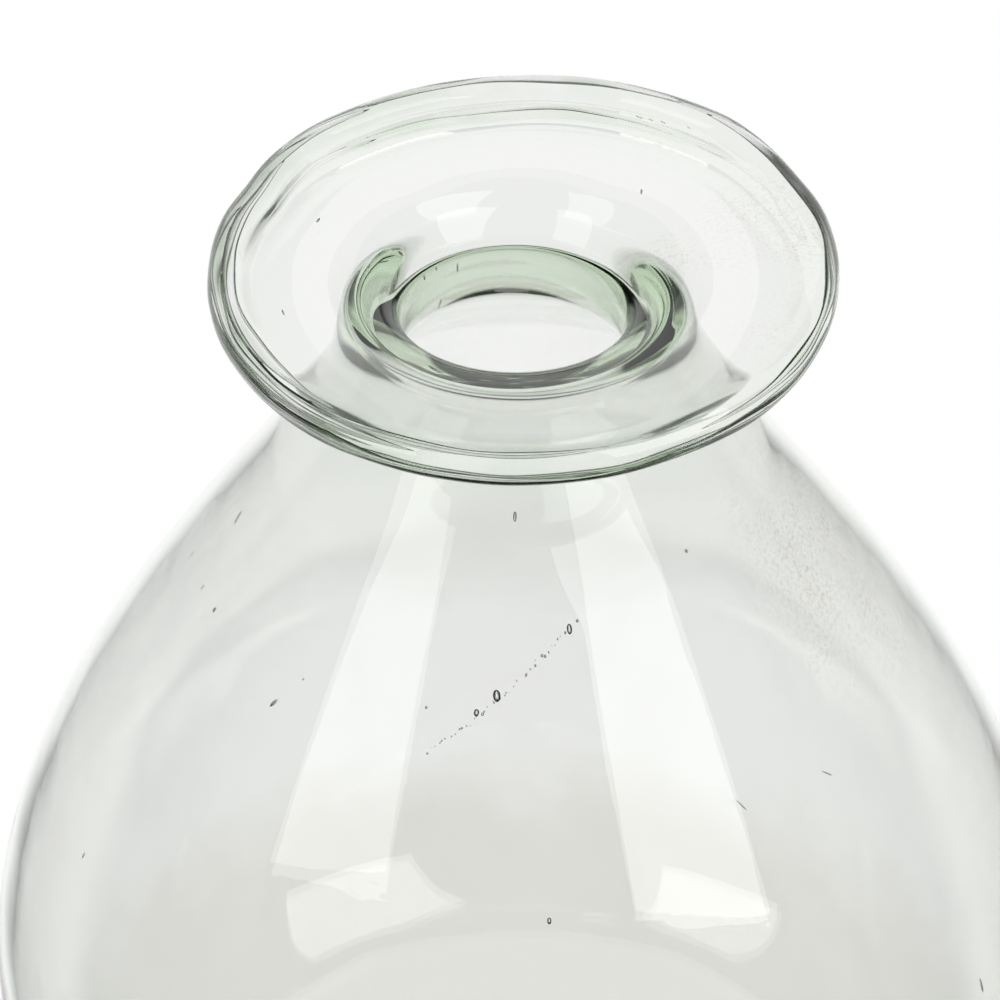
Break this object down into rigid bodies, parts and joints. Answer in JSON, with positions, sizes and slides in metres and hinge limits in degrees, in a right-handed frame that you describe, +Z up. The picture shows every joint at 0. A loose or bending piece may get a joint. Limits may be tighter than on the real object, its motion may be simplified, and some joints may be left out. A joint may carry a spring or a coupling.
{
  "type": "glass wasp trap",
  "caption": "Pear-shaped blown glass wasp trap with a wide flared lip, open neck, bait trough round a raised entry in the base, and applied feet.",
  "frame": {"origin": "on the table under the middle of the trap, between its three feet", "axes": "+Z up along the axis of the neck and body, foot_1 towards -Y, where the camera of the picture is"},
  "size_m": [0.1796, 0.1796, 0.2287],
  "materials": {
    "blown_glass": "clear, faint green, smooth with seeds and small bubbles",
    "foot_glass": "clear, faint green, fire-polished"
  },
  "bodies": {
    "root": {"glass_body": "blown_glass", "foot_1": "foot_glass", "foot_2": "foot_glass", "foot_3": "foot_glass"}
  },
  "joints": []
}
